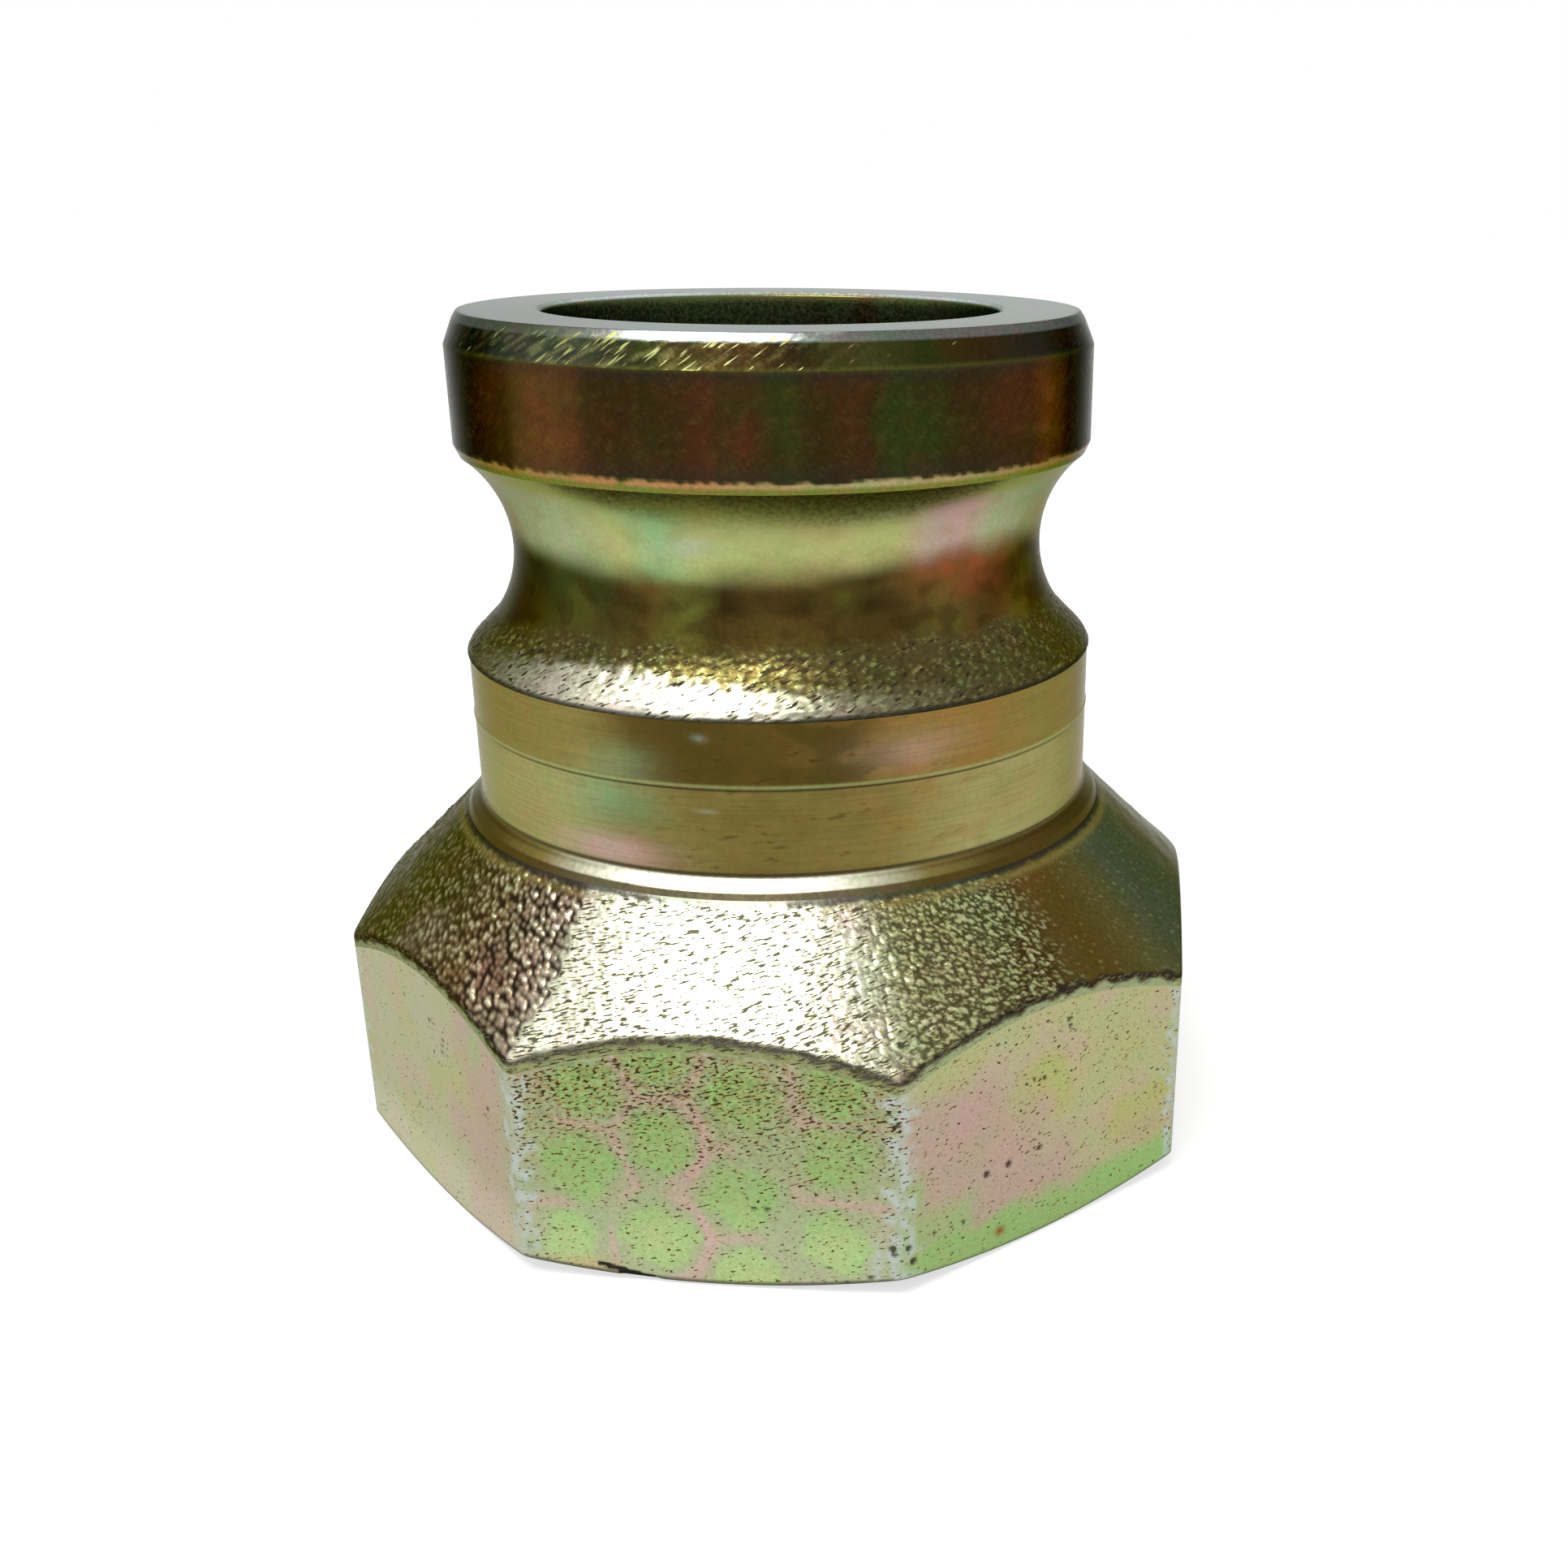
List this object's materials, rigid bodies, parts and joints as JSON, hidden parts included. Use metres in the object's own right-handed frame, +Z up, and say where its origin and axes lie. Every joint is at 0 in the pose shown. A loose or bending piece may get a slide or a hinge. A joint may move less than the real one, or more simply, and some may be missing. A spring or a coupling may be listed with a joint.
{
  "type": "camlock reducer",
  "caption": "Male cam-and-groove reducing adapter: a 2 in grooved spigot on an eight-sided body with a larger pipe-thread socket.",
  "frame": {"origin": "centre of the base, on the face that the thread opens through", "axes": "+Z up the bore to the head, -Y out of one wrench flat"},
  "size_m": [0.0856, 0.0856, 0.0839],
  "materials": {
    "zinc_plated_steel": "yellow passivated zinc plate over turned and as-forged steel, semi-gloss"
  },
  "bodies": {
    "root": {"adapter_body": "zinc_plated_steel"}
  },
  "joints": []
}
